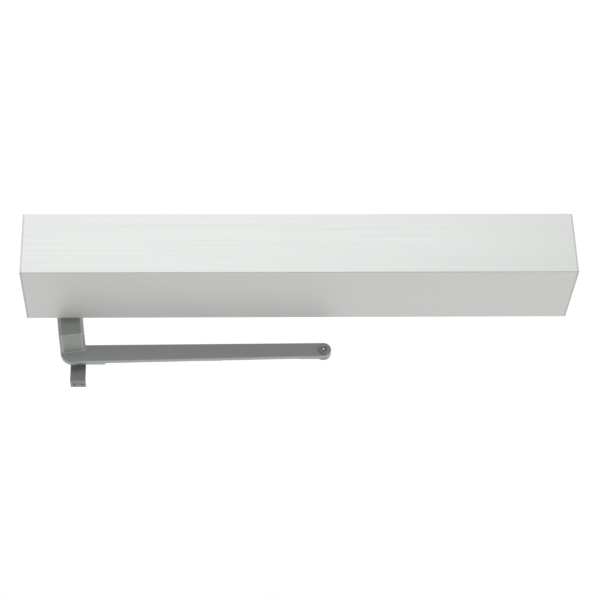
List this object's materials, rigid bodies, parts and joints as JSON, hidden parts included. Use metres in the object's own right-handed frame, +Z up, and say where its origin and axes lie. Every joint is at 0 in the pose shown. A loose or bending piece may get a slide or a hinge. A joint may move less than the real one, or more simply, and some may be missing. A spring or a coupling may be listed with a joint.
{
  "type": "door closer",
  "caption": "Powered door closer: full-length wall header with spring closer and gear motor, and a folded double-lever arm with an adjustable forearm and a pivoting shoe.",
  "frame": {"origin": "middle of the header's flat wall face", "axes": "+X along the header to the right as seen from the room, +Y into the wall, +Z up"},
  "size_m": [0.9144, 0.2034, 0.226],
  "materials": {
    "anodised_aluminium": "clear anodised, satin",
    "arm_paint": "satin grey-silver paint on forged steel",
    "zinc_steel": "zinc plated",
    "dulled_steel": "phosphated, slightly rubbed",
    "machined_steel": "machined, lightly oiled",
    "closer_casting": "painted casting",
    "ferrite": "matte sintered",
    "copper_winding": "varnished copper and laminations",
    "brass": "turned",
    "rubber": "matte",
    "nylon": "moulded",
    "control_plastic": "moulded, fine texture",
    "board": "solder resist",
    "board_components": "moulded",
    "terminal_plastic": "moulded",
    "switch_black": "moulded",
    "lead_black": "extruded sheath"
  },
  "bodies": {
    "header": {"back_plate": "anodised_aluminium", "cover": "anodised_aluminium", "end_cap_left": "anodised_aluminium", "end_cap_right": "anodised_aluminium", "end_cap_screws": "zinc_steel", "cover_screws": "zinc_steel", "closer_body": "closer_casting", "mechanism_screws": "zinc_steel", "spindle_bearings": "machined_steel", "bearing_caps": "machined_steel", "spindle_seals": "rubber", "left_end_plug": "machined_steel", "right_end_plug": "machined_steel", "plug_seals": "rubber", "closing_spring": "machined_steel", "spring_seat": "machined_steel", "adjuster_screw": "machined_steel", "valve_screws": "brass", "motor_bracket": "anodised_aluminium", "motor_screws": "zinc_steel", "motor_base": "closer_casting", "motor_can": "closer_casting", "motor_magnets": "ferrite", "motor_bearings": "machined_steel", "power_supply": "machined_steel", "control_box": "control_plastic", "control_lid": "control_plastic", "lid_screws": "zinc_steel", "circuit_board": "board", "board_parts": "board_components", "terminal_block": "terminal_plastic", "switch_body": "switch_black", "cable_grommet": "rubber", "motor_lead": "lead_black", "supply_lead": "lead_black", "mains_lead": "lead_black", "switch_lead": "lead_black", "lead_clips": "nylon"},
    "arm": {"spindle": "machined_steel", "spindle_gear": "machined_steel", "gear_retainer": "zinc_steel", "main_arm": "arm_paint", "hub_screw": "zinc_steel", "elbow_pin": "dulled_steel", "elbow_clip": "zinc_steel"},
    "piston": {"rack_piston": "machined_steel", "piston_seals": "rubber"},
    "rotor": {"motor_shaft": "machined_steel", "motor_rotor": "copper_winding", "motor_pinion": "machined_steel"},
    "forearm": {"forearm_tube": "arm_paint", "elbow_bush": "brass", "elbow_washer": "nylon", "clamp_screw": "zinc_steel"},
    "forearm_end": {"forearm_rod": "arm_paint", "shoe_washer": "nylon"},
    "shoe": {"shoe": "arm_paint", "shoe_pin": "zinc_steel"},
    "rocker": {"switch_rocker": "switch_black"}
  },
  "joints": [
    {"name": "arm_swing", "type": "hinge", "parent": "header", "child": "arm", "pos_m": [-0.392, -0.057, -0.081], "axis": [0, 0, 1], "range_deg": [-110, 0], "stiffness_Nm_per_rad": 6, "springref_deg": 22.92},
    {"name": "piston_slide", "type": "slide", "parent": "header", "child": "piston", "axis": [1, 0, 0], "range_m": [0, 0.02304], "deforming": ["closing_spring"]},
    {"name": "motor_spin", "type": "hinge", "parent": "header", "child": "rotor", "pos_m": [-0.344, -0.057, 0.003], "axis": [0, 0, 1], "range_deg": [0, 330]},
    {"name": "elbow_fold", "type": "hinge", "parent": "arm", "child": "forearm", "pos_m": [0.044, -0.1554, -0.12], "axis": [0, 0, 1], "range_deg": [-165, 165]},
    {"name": "forearm_length", "type": "slide", "parent": "forearm", "child": "forearm_end", "axis": [-1, -0.0048, 0], "range_m": [-0.02, 0.06]},
    {"name": "shoe_pivot", "type": "hinge", "parent": "forearm_end", "child": "shoe", "pos_m": [-0.373, -0.1574, -0.133], "axis": [0, 0, 1], "range_deg": [-150, 150]},
    {"name": "mode_rocker", "type": "hinge", "parent": "header", "child": "rocker", "pos_m": [0.4, -0.07, -0.0704], "axis": [0, 1, 0], "range_deg": [-8, 8]}
  ],
  "couplings": [
    {"joint": "piston_slide", "follows": "arm_swing", "m_per_rad": -0.012},
    {"joint": "motor_spin", "follows": "arm_swing", "ratio": -3}
  ]
}
